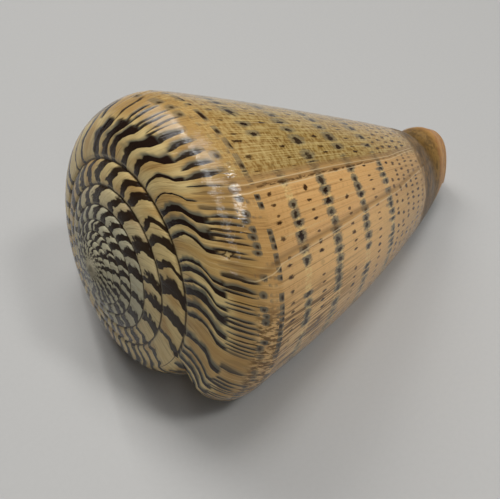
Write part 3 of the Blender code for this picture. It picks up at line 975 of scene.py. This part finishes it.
class StageLook(bpy.types.PropertyGroup):
    """Floor, light and camera."""
    floor_colour: FloatVectorProperty(name="Floor colour", subtype="COLOR", size=3,
                                      default=(0.51, 0.503, 0.487), min=0.0, max=1.0,
                                      description="Colour of the plain floor")
    strip_power: FloatProperty(name="Strip light", default=2.2, unit="POWER",
                               description="Power of the long light over the shoulder")
    front_power: FloatProperty(name="Front light", default=3.5, unit="POWER",
                               description="Power of the small soft light in front")
    back_power: FloatProperty(name="Back light", default=4.5, unit="POWER",
                              description="Power of the soft light behind the shell")
    overhead_power: FloatProperty(name="Overhead light", default=3.5, unit="POWER",
                                  description="Power of the soft light high over the tip")
    fill_strength: FloatProperty(name="Fill light", default=0.04,
                                 description="Strength of the even light from all round")
    focal_length: FloatProperty(name="Focal length", default=50.4, subtype="NONE",
                                description="Focal length in millimetres on a 36 mm sensor")
    azimuth: FloatProperty(name="Camera azimuth", default=radians(-36.939), subtype="ANGLE",
                           description="Direction of the camera round the shell")
    elevation: FloatProperty(name="Camera elevation", default=radians(46.044), subtype="ANGLE",
                             description="Height of the camera as an angle")
    roll: FloatProperty(name="Camera roll", default=radians(-1.794), subtype="ANGLE",
                        description="Turn of the camera about its own line of sight")


class SHELL_OT_build(bpy.types.Operator):
    """Build the shell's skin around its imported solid"""
    bl_idname = "shell.build"
    bl_label = "Build shell"

    def execute(self, context):
        look = context.scene.shell_look
        data = shell_mesh(look)
        data.materials.append(shell_material(look))
        data.materials.append(inside_material())
        skin = bpy.data.objects.new("shell_skin", data)
        context.scene.collection.objects.link(skin)
        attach(skin, "root")
        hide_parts("shell")
        return {"FINISHED"}


CAMERA_PLACE = Vector((-0.086945, -0.095122, 0.137547))
SENSOR_WIDTH, CLIP_START = 36.0, 0.005
FLOOR_HALF, FLOOR_GRAIN, FLOOR_SHADE = 3.0, 900.0, 0.94

# Soft lights: size in metres, then azimuth and elevation in degrees
LIGHT_DISTANCE = 1.2
FRONT = ((0.20, 0.20), -60.0, 58.0)
BACK = ((0.40, 0.65), 85.0, 48.0)
OVERHEAD = ((0.40, 0.40), 20.0, 78.0)
STRIP = ((0.014, 1.75), 0.0, 90.0)
STRIP_PLACE, STRIP_TURN = (-0.13, -0.30, 0.6), radians(-18.7)


class STAGE_OT_build(bpy.types.Operator):
    """Build the floor, the soft studio light and the camera"""
    bl_idname = "shell_stage.build"
    bl_label = "Build stage"

    def execute(self, context):
        look = context.scene.stage_look
        self.floor(context, look)
        self.light(context, look)
        self.camera(context, look)
        return {"FINISHED"}

    def floor(self, context, look):
        data = bpy.data.meshes.new("floor")
        corners = [(FLOOR_HALF * x, FLOOR_HALF * y, 0.0)
                   for x, y in ((-1, -1), (1, -1), (1, 1), (-1, 1))]
        data.from_pydata(corners, [], [(0, 1, 2, 3)])
        paint = Paint("floor")
        spot = paint.value("ShaderNodeTexCoord", {}, {}, "Object")
        grain = paint.noise(spot, FLOOR_GRAIN, 3.0, 0.6)
        darker = [FLOOR_SHADE * c for c in look.floor_colour]
        colour = paint.mix(grain, darker, look.floor_colour)
        data.materials.append(paint.finish({"Base Color": colour, "Roughness": 0.7}))
        floor = bpy.data.objects.new("floor", data)
        context.scene.collection.objects.link(floor)

    def light(self, context, look):
        world = bpy.data.worlds.new("studio")
        world.use_nodes = True
        background = world.node_tree.nodes["Background"]
        background.inputs["Color"].default_value = (0.97, 0.98, 1.0, 1.0)
        background.inputs["Strength"].default_value = look.fill_strength
        context.scene.world = world
        context.scene.view_settings.view_transform = "Standard"
        self.panel(context, "front", look.front_power, *FRONT)
        self.panel(context, "back", look.back_power, *BACK)
        self.panel(context, "overhead", look.overhead_power, *OVERHEAD)
        strip = self.panel(context, "strip", look.strip_power, *STRIP)
        strip.location = STRIP_PLACE
        strip.rotation_euler = (0.0, 0.0, STRIP_TURN)

    def panel(self, context, name, power, size, azimuth, elevation):
        """A flat light that faces the shell from a direction in degrees."""
        az, el = radians(azimuth), radians(elevation)
        away = Vector((cos(el) * cos(az), cos(el) * sin(az), sin(el)))
        data = bpy.data.lights.new(name, "AREA")
        data.shape = "RECTANGLE"
        data.size, data.size_y = size
        data.energy = power
        panel = bpy.data.objects.new(name, data)
        panel.location = away * LIGHT_DISTANCE
        panel.rotation_euler = away.to_track_quat("Z", "Y").to_euler()
        context.scene.collection.objects.link(panel)
        return panel

    def camera(self, context, look):
        az, el, roll = look.azimuth, look.elevation, look.roll
        back = Vector((sin(az) * cos(el), -cos(az) * cos(el), sin(el)))
        level = Vector((cos(az), sin(az), 0.0))
        upright = back.cross(level)
        right = cos(roll) * level + sin(roll) * upright
        up = cos(roll) * upright - sin(roll) * level
        turned = Matrix((right, up, back)).transposed().to_4x4()
        data = bpy.data.cameras.new("camera")
        data.lens = look.focal_length
        data.sensor_width = SENSOR_WIDTH
        data.clip_start = CLIP_START
        camera = bpy.data.objects.new("camera", data)
        camera.matrix_world = Matrix.Translation(CAMERA_PLACE) @ turned
        context.scene.collection.objects.link(camera)
        context.scene.camera = camera


class SHELL_PT_panel(bpy.types.Panel):
    """Lists the shell's operators and their settings"""
    bl_idname = "SHELL_PT_panel"
    bl_label = "Cone shell"
    bl_space_type = "VIEW_3D"
    bl_region_type = "UI"
    bl_category = "Shell"

    def draw(self, context):
        for look, operator in ((context.scene.shell_look, SHELL_OT_build),
                               (context.scene.stage_look, STAGE_OT_build)):
            box = self.layout.box()
            for name in look.__annotations__:
                box.prop(look, name)
            box.operator(operator.bl_idname)


CLASSES = (ShellLook, StageLook, SHELL_OT_build, STAGE_OT_build, SHELL_PT_panel)


def register():
    for item in CLASSES:
        bpy.utils.register_class(item)
    bpy.types.Scene.shell_look = PointerProperty(type=ShellLook)
    bpy.types.Scene.stage_look = PointerProperty(type=StageLook)


def unregister():
    del bpy.types.Scene.stage_look
    del bpy.types.Scene.shell_look
    for item in reversed(CLASSES):
        bpy.utils.unregister_class(item)


def main():
    register()
    bpy.ops.shell.build()
    bpy.ops.shell_stage.build()
    bpy.context.view_layer.update()


if __name__ == "__main__":
    main()
